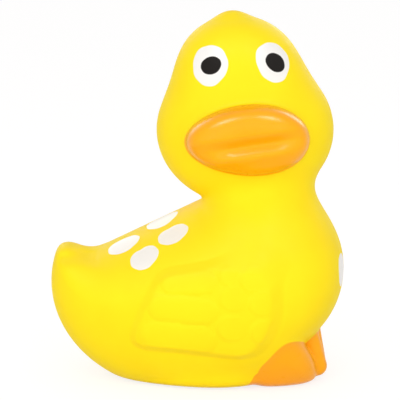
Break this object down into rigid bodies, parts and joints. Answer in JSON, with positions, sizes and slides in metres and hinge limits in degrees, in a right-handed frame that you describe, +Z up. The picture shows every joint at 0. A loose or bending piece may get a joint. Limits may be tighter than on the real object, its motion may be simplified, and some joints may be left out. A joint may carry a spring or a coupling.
{
  "type": "duck dog toy",
  "caption": "Squeaky moulded duck toy with its head turned to one side, raised feathered wings, a broad bill, toed feet and a squeaker set flush in the flat base.",
  "frame": {"origin": "middle of the outline box on the ground under the duck", "axes": "+Z up, +X towards the breast, -Y the way the turned head looks"},
  "size_m": [0.0748, 0.058, 0.0938],
  "materials": {
    "latex": "matte painted latex, yellow, with orange bill and feet and white spots",
    "squeaker_plastic": "moulded off-white plastic",
    "reed_brass": "thin rolled sheet"
  },
  "bodies": {
    "root": {"duck_body": "latex", "squeaker_housing": "squeaker_plastic", "squeaker_reed": "reed_brass"}
  },
  "joints": []
}
